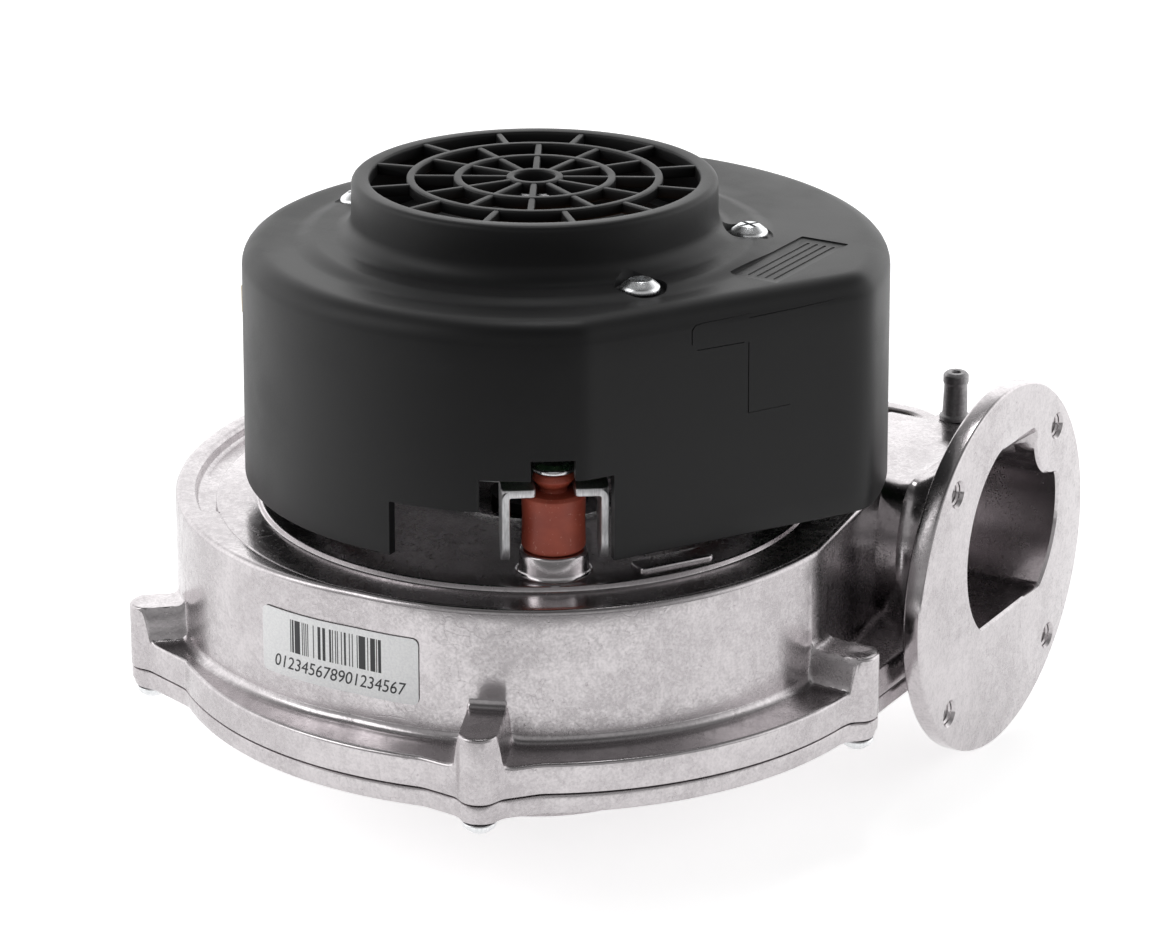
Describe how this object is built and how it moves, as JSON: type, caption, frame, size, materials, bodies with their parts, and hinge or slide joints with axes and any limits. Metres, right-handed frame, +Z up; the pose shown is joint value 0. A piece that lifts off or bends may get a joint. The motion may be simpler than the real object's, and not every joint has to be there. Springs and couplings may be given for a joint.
{
  "type": "combustion fan",
  "caption": "Gas-boiler combustion fan: die-cast scroll with round outlet flange and a black-covered motor on top, carried on silicone dampers.",
  "frame": {"origin": "centre of the bounding box in plan, at the plane the fan stands on (foot of the inlet collar and lowest point of the outlet flange)", "axes": "+X out of the outlet flange, +Z up along the motor axis, +Y from the motor axis towards the outlet side of the scroll"},
  "size_m": [0.1924, 0.2002, 0.1484],
  "materials": {
    "cast_aluminium": "matt as-cast, slightly mottled",
    "black_plastic": "finely grained moulded",
    "zinc_steel": "bright zinc plate",
    "bare_steel": "pressed and turned steel",
    "silicone_red": "satin silicone",
    "rubber_black": "moulded rubber",
    "pressed_aluminium": "satin sheet",
    "tap_grey": "smooth moulded",
    "lamination": "stacked sheet, dull",
    "magnet_grey": "sintered ferrite",
    "former_brown": "moulded phenolic",
    "copper_wire": "enamelled wire",
    "board_green": "solder mask",
    "board_brown": "phenolic paper",
    "beige_plastic": "moulded nylon",
    "sleeve_dark": "shrink sleeve",
    "label_white": "printed film"
  },
  "bodies": {
    "housing": {"volute_base": "cast_aluminium", "housing_seal": "rubber_black", "volute_housing": "cast_aluminium", "housing_screw_1": "zinc_steel", "housing_screw_2": "zinc_steel", "housing_screw_3": "zinc_steel", "housing_screw_4": "zinc_steel", "housing_screw_5": "zinc_steel", "housing_screw_6": "zinc_steel", "pressure_tap": "tap_grey", "shaft_seal": "rubber_black", "barcode_label": "label_white", "damper_1": "silicone_red", "damper_pin_1": "bare_steel", "damper_2": "silicone_red", "damper_pin_2": "bare_steel", "damper_3": "silicone_red", "damper_pin_3": "bare_steel"},
    "motor_unit": {"motor_bracket": "bare_steel", "motor_cover": "black_plastic", "lower_bearing": "bare_steel", "upper_bearing": "bare_steel", "lower_former": "former_brown", "upper_former": "former_brown", "stator_core": "lamination", "coil_1": "copper_wire", "coil_2": "copper_wire", "coil_3": "copper_wire", "coil_4": "copper_wire", "coil_5": "copper_wire", "coil_6": "copper_wire", "end_shield": "black_plastic", "winding_board": "board_brown", "cover_pillar_1": "zinc_steel", "cover_screw_1": "zinc_steel", "cover_pillar_2": "zinc_steel", "cover_screw_2": "zinc_steel", "cover_pillar_3": "zinc_steel", "cover_screw_3": "zinc_steel", "control_board": "board_green", "signal_connector": "beige_plastic", "power_connector": "beige_plastic", "capacitor_1": "sleeve_dark", "capacitor_2": "sleeve_dark", "choke": "copper_wire", "heat_sink": "pressed_aluminium"},
    "rotor": {"impeller_wheel": "pressed_aluminium", "impeller_shroud": "pressed_aluminium", "impeller_nut": "zinc_steel", "motor_shaft": "bare_steel", "rotor_core": "lamination", "rotor_magnet": "magnet_grey"}
  },
  "joints": [
    {"name": "motor_float", "type": "slide", "parent": "housing", "child": "motor_unit", "axis": [0, 0, 1], "range_m": [-0.0006, 0.0006], "stiffness_N_per_m": 45000, "springref_m": 0.00031, "deforming": ["damper_1", "damper_2", "damper_3"]},
    {"name": "rotor_spin", "type": "hinge", "parent": "motor_unit", "child": "rotor", "pos_m": [0.00019, -0.01065, 0.0246], "axis": [0, 0, 1], "continuous": true}
  ]
}
